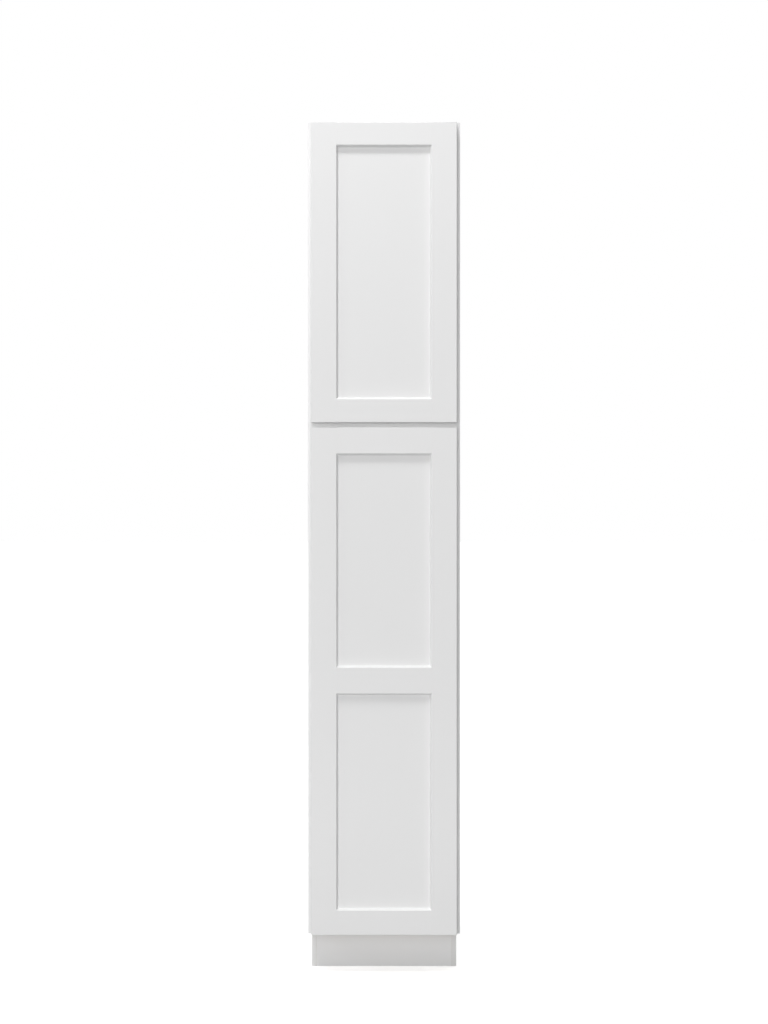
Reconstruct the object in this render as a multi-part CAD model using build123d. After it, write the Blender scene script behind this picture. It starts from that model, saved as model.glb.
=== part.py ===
from build123d import *
import os

# Tall pantry cabinet: plywood box on a recessed toe kick, hardwood face frame,
# two shaker doors that cover the frame and hang on concealed cup hinges.
# Millimetres. X is the width, the doors face -Y, Z is up from the floor.
# The origin is under the middle of the cabinet, on the floor.

# ---- driving dimensions ----
INCH = 25.4
WIDTH = 15 * INCH
HEIGHT = 84 * INCH
CABINET_DEPTH = 24 * INCH
TOE_HEIGHT = 4 * INCH
TOE_RECESS = 3 * INCH

# doors
DOOR_THICK = 19.0
DOOR_GAP = 2.0
DOOR_WIDTH = 364.0
LOWER_DOOR_BOTTOM = 103.0
LOWER_DOOR_TOP = 1368.5
UPPER_DOOR_BOTTOM = 1381.5
UPPER_DOOR_TOP = 2130.0
DOOR_STILE = 63.0
UPPER_DOOR_TOP_RAIL = 56.5
UPPER_DOOR_BOTTOM_RAIL = 58.0
LOWER_DOOR_TOP_RAIL = 64.5
LOWER_DOOR_BOTTOM_RAIL = 61.5
MIDDLE_RAIL = 64.5
MIDDLE_RAIL_BOTTOM = 705.5
PANEL_RECESS = 9.0
PANEL_THICK = 6.0
BEVEL = 5.0
GROOVE_DEPTH = 10.0
GROOVE_SLACK = 0.2
PANEL_FLOAT = 2.0
EASED_EDGE = 1.5

# face frame
FRAME_THICK = 0.75 * INCH
FRAME_STILE = 1.5 * INCH
FRAME_RAIL = 1.5 * INCH
FRAME_MIDDLE_RAIL_CENTRE = 1375.0
DOWEL_RADIUS = 4.0
DOWEL_LENGTH = 50.0
DOWEL_SPACING = 18.0
DOWEL_SLACK = 0.05

# plywood box
BOX_WIDTH = 14.5 * INCH
PLY = 0.5 * INCH
BACK_THICK = 6.0
DADO = 4.0
NAIL_RAIL = 90.0
DECK_BELOW_RAIL_TOP = 6.0

# shelves and their pins
SHELF_THICK = 0.75 * INCH
SHELF_SIDE_SLACK = 1.0
SHELF_FRONT_SETBACK = 8.0
SHELF_BACK_SLACK = 3.0
PIN_HOLE_RADIUS = 2.5
PIN_HOLE_DEPTH = 9.0
PIN_HOLE_PITCH = 2 * INCH
PIN_ROW_FROM_FRONT = 60.0
PIN_ROW_FROM_BACK = 70.0
PIN_SLACK = 0.05
PIN_LENGTH = 8.0
PIN_COLLAR_RADIUS = 4.5
PIN_COLLAR_THICK = 0.8
PIN_TONGUE_LENGTH = 9.0
PIN_TONGUE_HALF_WIDTH = 3.5
PIN_TONGUE_THICK = 2.1

# concealed hinges: cup bored in the door, arm screwed to the frame stile's edge
CUP_RADIUS = 17.5
CUP_SLACK = 0.1
CUP_DEPTH = 12.5
CUP_WALL = 1.0
CUP_CENTRE = 22.5
CUP_FLANGE = 1.0
CUP_FLANGE_RADIUS = 20.0
CUP_WING_HALF_LENGTH = 28.0
CUP_WING_HALF_WIDTH = 6.0
CUP_WING_CORNER = 5.0
CUP_SCREW_U = 32.0
CUP_SCREW_SPREAD = 45.0
CUP_SCREW_SHANK = 1.6
CUP_SCREW_HEAD = 3.4
CUP_SCREW_HEAD_HEIGHT = 1.8
CUP_SCREW_LENGTH = 12.0
HINGE_FROM_DOOR_END = 95.0
HINGE_MIDDLE = 735.0
INNER_ARM_PIVOT = (36.0, -3.0)
INNER_CUP_PIVOT = (13.0, 6.0)
OUTER_ARM_PIVOT = (39.0, -7.0)
OUTER_CUP_PIVOT = (13.0, 3.0)
INNER_LINK_BENDS = [(36.0, 4.0), (31.0, 10.0), (18.0, 10.5)]
OUTER_LINK_BENDS = [(34.5, 1.0), (31.0, 6.0), (17.0, 6.5)]
INNER_PIN_RADIUS = 1.5
OUTER_PIN_RADIUS = 1.2
PIN_RUNNING_SLACK = 0.05
PIN_SEAT_SLACK = 0.01
INNER_KNUCKLE = 2.6
OUTER_KNUCKLE = 2.2
INNER_LINK_THICK = 2.2
OUTER_LINK_THICK = 2.0
INNER_LINK_HALF = 4.0
EAR_INNER = 4.3
EAR_OUTER = 5.5
OUTER_LINK_INNER = 6.0
OUTER_LINK_OUTER = 7.5
ARM_PLATE_THICK = 2.0
ARM_PLATE_HALF = 25.0
ARM_PLATE_FRONT = -2.0
ARM_PLATE_BACK = -17.0
ARM_SCREW_OFFSET = 17.0
ARM_SCREW_SHANK = 1.9
ARM_SCREW_HEAD = 3.6
ARM_SCREW_HEAD_HEIGHT = 1.6
ARM_SCREW_LENGTH = 20.0
DAMPER_NEAR_U = 15.0
DAMPER_FAR_U = 30.0
DAMPER_BACK_V = 9.5
DAMPER_LOW = 8.3
DAMPER_HIGH = 11.5
DAMPER_ROUND = 0.8

# bumpers on the latch side of each door
BUMPER_RADIUS = 4.0
BUMPER_THICK = 1.7
BUMPER_INSET = 12.0

# ---- places worked out from the driving dimensions ----
TOTAL_DEPTH = CABINET_DEPTH + DOOR_THICK + DOOR_GAP
DOOR_FRONT = -TOTAL_DEPTH / 2
DOOR_BACK = DOOR_FRONT + DOOR_THICK
FRAME_FRONT = DOOR_BACK + DOOR_GAP
BOX_FRONT = FRAME_FRONT + FRAME_THICK
CABINET_BACK = TOTAL_DEPTH / 2
TOE_FRONT = FRAME_FRONT + TOE_RECESS
SIDE_OUT = BOX_WIDTH / 2
SIDE_IN = SIDE_OUT - PLY
DOOR_HALF = DOOR_WIDTH / 2
HINGE_EDGE = -DOOR_HALF
NAIL_RAIL_FRONT = CABINET_BACK - PLY
BACK_FRONT = NAIL_RAIL_FRONT - BACK_THICK
FRAME_MIDDLE_BOTTOM = FRAME_MIDDLE_RAIL_CENTRE - FRAME_RAIL / 2
BOTTOM_DECK_TOP = TOE_HEIGHT + FRAME_RAIL - DECK_BELOW_RAIL_TOP
MIDDLE_DECK_TOP = FRAME_MIDDLE_BOTTOM + FRAME_RAIL - DECK_BELOW_RAIL_TOP
TOP_PANEL_BOTTOM = HEIGHT - PLY
STILE_INNER_U = FRAME_STILE - WIDTH / 2 - HINGE_EDGE
LOWER_SHELF_HOLES = (6, 12, 18)
UPPER_SHELF_HOLES = (3, 8)

UPPER_HINGES = (
    UPPER_DOOR_BOTTOM + HINGE_FROM_DOOR_END,
    UPPER_DOOR_TOP - HINGE_FROM_DOOR_END,
)
LOWER_HINGES = (
    LOWER_DOOR_BOTTOM + HINGE_FROM_DOOR_END,
    HINGE_MIDDLE,
    LOWER_DOOR_TOP - HINGE_FROM_DOOR_END,
)


# ---- small helpers ----
def block(x0, x1, y0, y1, z0, z1):
    """A square-edged board between two corners."""
    size = Box(x1 - x0, y1 - y0, z1 - z0)
    return Pos((x0 + x1) / 2, (y0 + y1) / 2, (z0 + z1) / 2) * size


def rod_x(x0, x1, y, z, radius):
    """A round bar that runs along X."""
    return Pos((x0 + x1) / 2, y, z) * Rot(0, 90, 0) * Cylinder(radius, abs(x1 - x0))


def rod_y(x, y0, y1, z, radius):
    """A round bar that runs along Y."""
    return Pos(x, (y0 + y1) / 2, z) * Rot(90, 0, 0) * Cylinder(radius, abs(y1 - y0))


def rod_z(x, y, z0, z1, radius):
    """A round bar that stands along Z."""
    return Pos(x, y, (z0 + z1) / 2) * Cylinder(radius, abs(z1 - z0))


def other_side(shape):
    """The same piece on the other side of the cabinet's middle plane."""
    return mirror(shape, about=Plane.YZ)


def save(name, *solids):
    """Write one named piece, or a group of identical loose pieces."""
    shape = solids[0] if len(solids) == 1 else Compound(children=list(solids))
    export_step(shape, f"parts/{name}.step")


# ---- plywood box ----
def shelf_pin_rows():
    """Depths of the front and the rear row of pin holes."""
    return (BOX_FRONT + PIN_ROW_FROM_FRONT, BACK_FRONT - PIN_ROW_FROM_BACK)


def pin_heights(deck_top, ceiling):
    """Heights of the pin holes in one compartment."""
    first = deck_top + 2 * PIN_HOLE_PITCH
    count = int((ceiling - PIN_HOLE_PITCH - first) / PIN_HOLE_PITCH) + 1
    return [first + i * PIN_HOLE_PITCH for i in range(count)]


LOWER_PIN_HEIGHTS = pin_heights(BOTTOM_DECK_TOP, MIDDLE_DECK_TOP - PLY)
UPPER_PIN_HEIGHTS = pin_heights(MIDDLE_DECK_TOP, TOP_PANEL_BOTTOM)


def deck(top):
    """A fixed horizontal panel, let into the sides by the depth of the dado."""
    half = SIDE_IN + DADO
    return block(-half, half, BOX_FRONT, BACK_FRONT, top - PLY, top)


def back_panel():
    half = SIDE_IN + DADO
    return block(-half, half, BACK_FRONT, NAIL_RAIL_FRONT, BOTTOM_DECK_TOP - PLY, HEIGHT)


def nail_rail(bottom):
    return block(-SIDE_IN, SIDE_IN, NAIL_RAIL_FRONT, CABINET_BACK, bottom, bottom + NAIL_RAIL)


def side_panel(let_in):
    """The right side: toe notch, dados for the panels let into it, pin holes."""
    side = block(SIDE_IN, SIDE_OUT, BOX_FRONT, CABINET_BACK, 0, HEIGHT)
    side -= block(SIDE_IN, SIDE_OUT, BOX_FRONT, TOE_FRONT, 0, TOE_HEIGHT)
    for panel in let_in:
        side -= panel
    holes = []
    for y in shelf_pin_rows():
        for z in LOWER_PIN_HEIGHTS + UPPER_PIN_HEIGHTS:
            holes.append(rod_x(SIDE_IN, SIDE_IN + PIN_HOLE_DEPTH, y, z, PIN_HOLE_RADIUS))
    return side - holes


# ---- face frame ----
def dowel_places():
    """Heights of the dowels that join each frame rail to the stiles."""
    rail_centres = (
        TOE_HEIGHT + FRAME_RAIL / 2,
        FRAME_MIDDLE_RAIL_CENTRE,
        HEIGHT - FRAME_RAIL / 2,
    )
    half = DOWEL_SPACING / 2
    return [z + offset for z in rail_centres for offset in (-half, half)]


def dowels(radius, extra_length):
    """Dowels across the joint line, on the right-hand side of the frame."""
    middle = WIDTH / 2 - FRAME_STILE
    reach = DOWEL_LENGTH / 2 + extra_length
    y = FRAME_FRONT + FRAME_THICK / 2
    return [rod_x(middle - reach, middle + reach, y, z, radius) for z in dowel_places()]


def frame_stile(joint_holes):
    """The right-hand stile, with its dowel holes."""
    inner = WIDTH / 2 - FRAME_STILE
    stile = block(inner, WIDTH / 2, FRAME_FRONT, BOX_FRONT, TOE_HEIGHT, HEIGHT)
    return stile - joint_holes


def frame_rail(bottom, joint_holes):
    half = WIDTH / 2 - FRAME_STILE
    rail = block(-half, half, FRAME_FRONT, BOX_FRONT, bottom, bottom + FRAME_RAIL)
    return rail - joint_holes


# ---- shelves ----
def shelf(hole_height):
    """An adjustable shelf that lies on four pins."""
    half = SIDE_IN - SHELF_SIDE_SLACK
    bottom = hole_height + PIN_HOLE_RADIUS
    return block(
        -half,
        half,
        BOX_FRONT + SHELF_FRONT_SETBACK,
        BACK_FRONT - SHELF_BACK_SLACK,
        bottom,
        bottom + SHELF_THICK,
    )


def shelf_pin(y, z):
    """A steel pin in the right side: stem in the hole, collar cut level with the tongue's top."""
    stem = rod_x(SIDE_IN, SIDE_IN + PIN_LENGTH, y, z, PIN_HOLE_RADIUS - PIN_SLACK)
    collar = rod_x(SIDE_IN - PIN_COLLAR_THICK, SIDE_IN, y, z, PIN_COLLAR_RADIUS)
    top = z + PIN_HOLE_RADIUS
    inner_end = SIDE_IN - PIN_TONGUE_LENGTH
    above = block(
        inner_end,
        SIDE_IN,
        y - PIN_COLLAR_RADIUS,
        y + PIN_COLLAR_RADIUS,
        top,
        top + PIN_COLLAR_RADIUS,
    )
    tongue = block(
        inner_end,
        SIDE_IN - PIN_COLLAR_THICK,
        y - PIN_TONGUE_HALF_WIDTH,
        y + PIN_TONGUE_HALF_WIDTH,
        top - PIN_TONGUE_THICK,
        top,
    )
    return stem + (collar - above) + tongue


def shelf_pins(heights, picked):
    """Four pins for each picked height."""
    pins = []
    for index in picked:
        for y in shelf_pin_rows():
            pin = shelf_pin(y, heights[index])
            pins += [pin, other_side(pin)]
    return pins


# ---- doors ----
def door_envelope(bottom, top):
    """The trued door as one slab, its outer front edges eased all round."""
    slab = block(-DOOR_HALF, DOOR_HALF, DOOR_FRONT, DOOR_BACK, bottom, top)
    front_face = slab.faces().sort_by(Axis.Y)[0]
    return fillet(front_face.edges(), EASED_EDGE)


def edge_bar_points(width):
    """Section of a stile or end rail: (across from the outer edge, depth from the front).

    The inner edge slopes down to the panel, then a groove holds the panel.
    """
    groove_back = PANEL_RECESS + PANEL_THICK + GROOVE_SLACK
    lip = width + BEVEL
    groove = lip - GROOVE_DEPTH
    return [
        (0, 0),
        (width, 0),
        (lip, PANEL_RECESS),
        (groove, PANEL_RECESS),
        (groove, groove_back),
        (lip, groove_back),
        (lip, DOOR_THICK),
        (0, DOOR_THICK),
    ]


def middle_bar_points(width):
    """Section of the middle rail: sloped and grooved on both edges."""
    inner_half = edge_bar_points(width / 2)[1:-1]
    return inner_half + [(-across, depth) for across, depth in reversed(inner_half)]


def stile_blank(bottom, top):
    """The left stile of a door, before the cup bores."""
    points = []
    for across, depth in edge_bar_points(DOOR_STILE):
        points.append((across - DOOR_HALF, DOOR_FRONT + depth))
    section = Plane.XY.offset(bottom) * make_face(Polyline(*points, close=True))
    return extrude(section, amount=top - bottom, dir=(0, 0, 1))


def rail_blank(points, z_of):
    """A rail as long as the door's groove bottoms, from a section and its height rule."""
    reach = DOOR_HALF - DOOR_STILE - BEVEL + GROOVE_DEPTH
    corners = [(-reach, DOOR_FRONT + depth, z_of(across)) for across, depth in points]
    section = make_face(Polyline(*corners, close=True))
    return extrude(section, amount=2 * reach, dir=(1, 0, 0))


def top_rail(top, width):
    return rail_blank(edge_bar_points(width), lambda across: top - across)


def bottom_rail(bottom, width):
    return rail_blank(edge_bar_points(width), lambda across: bottom + across)


def middle_rail(centre, width):
    return rail_blank(middle_bar_points(width), lambda across: centre + across)


def door_panel(opening_bottom, opening_top):
    """The flat panel, a little smaller than its grooves so that it can move."""
    reach = GROOVE_DEPTH - BEVEL - PANEL_FLOAT
    half = DOOR_HALF - DOOR_STILE + reach
    front = DOOR_FRONT + PANEL_RECESS
    return block(-half, half, front, front + PANEL_THICK, opening_bottom - reach, opening_top + reach)


def bumper(height):
    """A soft disc on the latch side's back corner."""
    x = DOOR_HALF - BUMPER_INSET
    return rod_y(x, DOOR_BACK, DOOR_BACK + BUMPER_THICK, height, BUMPER_RADIUS)


# ---- hinges ----
def at(u, v):
    """Place on the floor plan of a point of the hinge.

    u runs from the door's hinge edge across the door, v from the frame's front towards the doors.
    """
    return (HINGE_EDGE + u, FRAME_FRONT - v)


def link_plate(points, thick, knuckle, hole, low, high):
    """A bent plate between two knuckles, each with a hole for its pin."""
    path = FilletPolyline(*[at(u, v) for u, v in points], radius=thick)
    plan = trace(path, line_width=thick)
    ends = [Pos(*at(*points[0])), Pos(*at(*points[-1]))]
    for end in ends:
        plan += end * Circle(knuckle)
    for end in ends:
        plan -= end * Circle(hole)
    return extrude(Plane.XY.offset(low) * plan, amount=high - low)


def inner_link(z):
    """The wide link in the middle of the hinge, arched to pass round the door's edge."""
    points = [INNER_ARM_PIVOT, *INNER_LINK_BENDS, INNER_CUP_PIVOT]
    hole = INNER_PIN_RADIUS + PIN_RUNNING_SLACK
    low = z - INNER_LINK_HALF
    high = z + INNER_LINK_HALF
    return link_plate(points, INNER_LINK_THICK, INNER_KNUCKLE, hole, low, high)


def outer_links(z):
    """The pair of thin links either side, free at the cup end."""
    points = [OUTER_ARM_PIVOT, *OUTER_LINK_BENDS, OUTER_CUP_PIVOT]
    hole = OUTER_PIN_RADIUS + PIN_RUNNING_SLACK
    pair = []
    for low, high in (
        (z - OUTER_LINK_OUTER, z - OUTER_LINK_INNER),
        (z + OUTER_LINK_INNER, z + OUTER_LINK_OUTER),
    ):
        pair.append(link_plate(points, OUTER_LINK_THICK, OUTER_KNUCKLE, hole, low, high))
    return pair


def hinge_arm(z):
    """A screw plate on the stile's inner edge with two ears that hold the pins."""
    plate_u = STILE_INNER_U + ARM_PLATE_THICK
    x0, y0 = at(STILE_INNER_U, ARM_PLATE_FRONT)
    x1, y1 = at(plate_u, ARM_PLATE_BACK)
    arm = block(x0, x1, y0, y1, z - ARM_PLATE_HALF, z + ARM_PLATE_HALF)
    ear_outline = [
        at(STILE_INNER_U, ARM_PLATE_FRONT),
        at(INNER_ARM_PIVOT[0], INNER_ARM_PIVOT[1] + INNER_KNUCKLE),
        at(INNER_ARM_PIVOT[0] + INNER_KNUCKLE, INNER_ARM_PIVOT[1]),
        at(OUTER_ARM_PIVOT[0] + OUTER_KNUCKLE, OUTER_ARM_PIVOT[1]),
        at(OUTER_ARM_PIVOT[0], OUTER_ARM_PIVOT[1] - INNER_KNUCKLE),
        at(STILE_INNER_U, ARM_PLATE_BACK),
    ]
    ear = make_face(Polyline(*ear_outline, close=True))
    ear -= Pos(*at(*INNER_ARM_PIVOT)) * Circle(INNER_PIN_RADIUS + PIN_SEAT_SLACK)
    ear -= Pos(*at(*OUTER_ARM_PIVOT)) * Circle(OUTER_PIN_RADIUS + PIN_SEAT_SLACK)
    for low in (z - EAR_OUTER, z + EAR_INNER):
        arm += extrude(Plane.XY.offset(low) * ear, amount=EAR_OUTER - EAR_INNER)
    for offset in (-ARM_SCREW_OFFSET, ARM_SCREW_OFFSET):
        arm -= arm_screw(z + offset, PIN_RUNNING_SLACK)
    return arm


def arm_screw(z, slack):
    """A pan-head screw through the arm's plate into the stile's edge."""
    face = HINGE_EDGE + STILE_INNER_U + ARM_PLATE_THICK
    y = FRAME_FRONT - (ARM_PLATE_FRONT + ARM_PLATE_BACK) / 2
    head = rod_x(face, face + ARM_SCREW_HEAD_HEIGHT, y, z, ARM_SCREW_HEAD)
    shank = rod_x(face - ARM_SCREW_LENGTH - slack, face, y, z, ARM_SCREW_SHANK + slack)
    if slack:
        return shank
    return head + shank


def arm_pins(z):
    """The two pins that stay in the arm's ears."""
    inner = rod_z(*at(*INNER_ARM_PIVOT), z - EAR_OUTER, z + EAR_OUTER, INNER_PIN_RADIUS)
    outer = rod_z(*at(*OUTER_ARM_PIVOT), z - OUTER_LINK_OUTER, z + OUTER_LINK_OUTER, OUTER_PIN_RADIUS)
    return [inner, outer]


def hinge_cup(z):
    """The pressed cup, its flange with a screw wing, and the two ears inside that hold the pin."""
    x, flange_y = at(CUP_CENTRE, DOOR_GAP - CUP_FLANGE)
    back_y = DOOR_BACK
    deep_y = back_y - CUP_DEPTH
    floor_y = deep_y + CUP_WALL
    cup = rod_y(x, deep_y, back_y, z, CUP_RADIUS - CUP_SLACK)
    cup += rod_y(x, back_y, flange_y, z, CUP_FLANGE_RADIUS)
    wing_x = HINGE_EDGE + CUP_SCREW_U
    wing = block(
        wing_x - CUP_WING_HALF_WIDTH,
        wing_x + CUP_WING_HALF_WIDTH,
        back_y,
        flange_y,
        z - CUP_WING_HALF_LENGTH,
        z + CUP_WING_HALF_LENGTH,
    )
    cup += fillet(wing.edges().filter_by(Axis.Y), CUP_WING_CORNER)
    cup -= rod_y(x, floor_y, flange_y, z, CUP_RADIUS - CUP_SLACK - CUP_WALL)
    pivot_x, pivot_y = at(*INNER_CUP_PIVOT)
    for low in (z - EAR_OUTER, z + EAR_INNER):
        high = low + EAR_OUTER - EAR_INNER
        cup += rod_z(pivot_x, pivot_y, low, high, INNER_KNUCKLE)
        cup += block(pivot_x - INNER_KNUCKLE, pivot_x + INNER_KNUCKLE, floor_y, pivot_y, low, high)
    cup -= rod_z(pivot_x, pivot_y, z - EAR_OUTER, z + EAR_OUTER, INNER_PIN_RADIUS + PIN_SEAT_SLACK)
    for offset in (-CUP_SCREW_SPREAD / 2, CUP_SCREW_SPREAD / 2):
        cup -= cup_screw(z + offset, PIN_RUNNING_SLACK)
    return cup


def cup_bore(z):
    """The round hole in the door's back that takes the cup."""
    x = HINGE_EDGE + CUP_CENTRE
    return rod_y(x, DOOR_BACK - CUP_DEPTH, DOOR_BACK, z, CUP_RADIUS)


def cup_screw(z, slack):
    """A countersunk screw, flush in the flange."""
    x = HINGE_EDGE + CUP_SCREW_U
    head_y = DOOR_BACK + CUP_FLANGE
    shank_y = head_y - CUP_SCREW_HEAD_HEIGHT
    tip_y = head_y - CUP_SCREW_LENGTH - slack
    head = Cone(CUP_SCREW_SHANK + slack, CUP_SCREW_HEAD + slack, CUP_SCREW_HEAD_HEIGHT)
    head = Pos(x, (head_y + shank_y) / 2, z) * Rot(-90, 0, 0) * head
    return head + rod_y(x, tip_y, shank_y, z, CUP_SCREW_SHANK + slack)


def cup_pin(z):
    """The pin that joins the wide link to the cup."""
    return rod_z(*at(*INNER_CUP_PIVOT), z - EAR_OUTER, z + EAR_OUTER, INNER_PIN_RADIUS)


def damper(z):
    """The soft-close damper's housing, beside the links on the cup's floor."""
    x0, back_y = at(DAMPER_NEAR_U, DAMPER_BACK_V)
    x1, floor_y = at(DAMPER_FAR_U, DOOR_GAP + CUP_DEPTH - CUP_WALL)
    body = block(x0, x1, floor_y, back_y, z + DAMPER_LOW, z + DAMPER_HIGH)
    return fillet(body.edges().filter_by(Axis.X), DAMPER_ROUND)


def drilled_stile(stile, hinge_heights):
    """A stile with a bore and two screw holes for each hinge."""
    for z in hinge_heights:
        stile -= cup_bore(z)
        for offset in (-CUP_SCREW_SPREAD / 2, CUP_SCREW_SPREAD / 2):
            stile -= cup_screw(z + offset, PIN_RUNNING_SLACK)
    return stile


def save_hinges(door, heights):
    """Write the hinge pieces of one door, like pieces together."""
    half_spread = CUP_SCREW_SPREAD / 2
    arm_screws = [arm_screw(z + s, 0) for z in heights for s in (-ARM_SCREW_OFFSET, ARM_SCREW_OFFSET)]
    cup_screws = [cup_screw(z + s, 0) for z in heights for s in (-half_spread, half_spread)]
    save(f"{door}_hinge_arms", *[hinge_arm(z) for z in heights])
    save(f"{door}_hinge_arm_screws", *arm_screws)
    save(f"{door}_hinge_arm_pins", *[pin for z in heights for pin in arm_pins(z)])
    save(f"{door}_hinge_inner_links", *[inner_link(z) for z in heights])
    save(f"{door}_hinge_outer_links", *[link for z in heights for link in outer_links(z)])
    save(f"{door}_hinge_cups", *[hinge_cup(z) for z in heights])
    save(f"{door}_hinge_cup_screws", *cup_screws)
    save(f"{door}_hinge_cup_pins", *[cup_pin(z) for z in heights])
    save(f"{door}_hinge_dampers", *[damper(z) for z in heights])


# ---- assembly ----
def save_box():
    """Write the plywood box and the toe kick."""
    bottom_deck = deck(BOTTOM_DECK_TOP)
    middle_deck = deck(MIDDLE_DECK_TOP)
    top_panel = deck(HEIGHT)
    back = back_panel()
    top_panel -= back
    right_side = side_panel([bottom_deck, middle_deck, top_panel, back])
    save("right_side_panel", right_side)
    save("left_side_panel", other_side(right_side))
    save("bottom_deck", bottom_deck)
    save("middle_deck", middle_deck)
    save("top_panel", top_panel)
    save("back_panel", back)
    save("top_nail_rail", nail_rail(HEIGHT - NAIL_RAIL))
    save("middle_nail_rail", nail_rail(MIDDLE_DECK_TOP - PLY - NAIL_RAIL))
    save("bottom_nail_rail", nail_rail(BOTTOM_DECK_TOP - PLY))
    toe_top = BOTTOM_DECK_TOP - PLY
    save("toe_kick_board", block(-SIDE_IN, SIDE_IN, TOE_FRONT, TOE_FRONT + PLY, 0, toe_top))


def save_face_frame():
    """Write the frame's stiles and rails, and the dowels that join them."""
    right_holes = dowels(DOWEL_RADIUS + DOWEL_SLACK, DOWEL_SLACK)
    left_holes = [other_side(hole) for hole in right_holes]
    right_dowels = dowels(DOWEL_RADIUS, 0)
    screw_holes = []
    for z in UPPER_HINGES + LOWER_HINGES:
        for offset in (-ARM_SCREW_OFFSET, ARM_SCREW_OFFSET):
            screw_holes.append(arm_screw(z + offset, PIN_RUNNING_SLACK))
    save("face_frame_right_stile", frame_stile(right_holes))
    save("face_frame_left_stile", other_side(frame_stile(right_holes)) - screw_holes)
    save("face_frame_bottom_rail", frame_rail(TOE_HEIGHT, right_holes + left_holes))
    save("face_frame_middle_rail", frame_rail(FRAME_MIDDLE_BOTTOM, right_holes + left_holes))
    save("face_frame_top_rail", frame_rail(HEIGHT - FRAME_RAIL, right_holes + left_holes))
    save("face_frame_dowels", *right_dowels, *[other_side(dowel) for dowel in right_dowels])


def save_shelves():
    """Write the loose shelves and the pins they lie on."""
    for number, index in enumerate(LOWER_SHELF_HOLES, start=1):
        save(f"lower_shelf_{number}", shelf(LOWER_PIN_HEIGHTS[index]))
    for number, index in enumerate(UPPER_SHELF_HOLES, start=1):
        save(f"upper_shelf_{number}", shelf(UPPER_PIN_HEIGHTS[index]))
    save("lower_shelf_pins", *shelf_pins(LOWER_PIN_HEIGHTS, LOWER_SHELF_HOLES))
    save("upper_shelf_pins", *shelf_pins(UPPER_PIN_HEIGHTS, UPPER_SHELF_HOLES))


def save_door(door, bottom, top, rails, openings, hinges):
    """Write one door: stiles, the rails coped to them, panels, bumpers and hinges."""
    envelope = door_envelope(bottom, top)
    left = stile_blank(bottom, top) & envelope
    right = other_side(left)
    save(f"{door}_left_stile", drilled_stile(left, hinges))
    save(f"{door}_right_stile", right)
    for name, blank in rails.items():
        save(f"{door}_{name}", (blank & envelope) - left - right)
    for name, (low, high) in openings.items():
        save(f"{door}_{name}", door_panel(low, high))
    save(f"{door}_bumpers", bumper(bottom + BUMPER_INSET), bumper(top - BUMPER_INSET))
    save_hinges(door, hinges)


os.makedirs("parts", exist_ok=True)
save_box()
save_face_frame()
save_shelves()
save_door(
    "upper_door",
    UPPER_DOOR_BOTTOM,
    UPPER_DOOR_TOP,
    {
        "top_rail": top_rail(UPPER_DOOR_TOP, UPPER_DOOR_TOP_RAIL),
        "bottom_rail": bottom_rail(UPPER_DOOR_BOTTOM, UPPER_DOOR_BOTTOM_RAIL),
    },
    {"panel": (UPPER_DOOR_BOTTOM + UPPER_DOOR_BOTTOM_RAIL, UPPER_DOOR_TOP - UPPER_DOOR_TOP_RAIL)},
    UPPER_HINGES,
)
save_door(
    "lower_door",
    LOWER_DOOR_BOTTOM,
    LOWER_DOOR_TOP,
    {
        "top_rail": top_rail(LOWER_DOOR_TOP, LOWER_DOOR_TOP_RAIL),
        "middle_rail": middle_rail(MIDDLE_RAIL_BOTTOM + MIDDLE_RAIL / 2, MIDDLE_RAIL),
        "bottom_rail": bottom_rail(LOWER_DOOR_BOTTOM, LOWER_DOOR_BOTTOM_RAIL),
    },
    {
        "upper_panel": (MIDDLE_RAIL_BOTTOM + MIDDLE_RAIL, LOWER_DOOR_TOP - LOWER_DOOR_TOP_RAIL),
        "lower_panel": (LOWER_DOOR_BOTTOM + LOWER_DOOR_BOTTOM_RAIL, MIDDLE_RAIL_BOTTOM),
    },
    LOWER_HINGES,
)
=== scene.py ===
import math

import bmesh
import bpy
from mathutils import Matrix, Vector


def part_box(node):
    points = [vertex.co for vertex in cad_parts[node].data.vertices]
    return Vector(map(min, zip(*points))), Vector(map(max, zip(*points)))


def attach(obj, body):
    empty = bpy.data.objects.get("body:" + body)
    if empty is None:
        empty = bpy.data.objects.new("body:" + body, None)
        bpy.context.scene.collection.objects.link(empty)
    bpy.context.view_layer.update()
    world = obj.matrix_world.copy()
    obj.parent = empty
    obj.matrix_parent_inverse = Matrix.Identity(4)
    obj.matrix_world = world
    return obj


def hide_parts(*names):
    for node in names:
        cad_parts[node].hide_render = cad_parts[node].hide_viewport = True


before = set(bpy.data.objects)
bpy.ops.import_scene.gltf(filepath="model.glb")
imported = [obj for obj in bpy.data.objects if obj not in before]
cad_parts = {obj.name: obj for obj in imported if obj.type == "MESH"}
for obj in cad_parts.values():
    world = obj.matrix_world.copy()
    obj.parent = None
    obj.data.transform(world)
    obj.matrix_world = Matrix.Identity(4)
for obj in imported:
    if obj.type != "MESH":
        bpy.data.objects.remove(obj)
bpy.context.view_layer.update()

# ---------------------------------------------------------------------------
# Side panels
# Two sheets of 12.7 mm birch plywood, with white lacquer outside and a clear coat inside. They are
# notched at the toe, grooved for the decks and the back, which are glued in, and drilled with two
# rows of blind 5 mm holes for shelf pins.
# ---------------------------------------------------------------------------
mm = 0.001
level, front_to_back, upright = 0, 1, 2


def linear(hex_colour):
    """An sRGB hex colour as linear red, green, blue and alpha."""
    channels = [int(hex_colour[i : i + 2], 16) / 255 for i in (1, 3, 5)]
    return [c / 12.92 if c <= 0.04045 else ((c + 0.055) / 1.055) ** 2.4 for c in channels] + [1.0]


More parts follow.
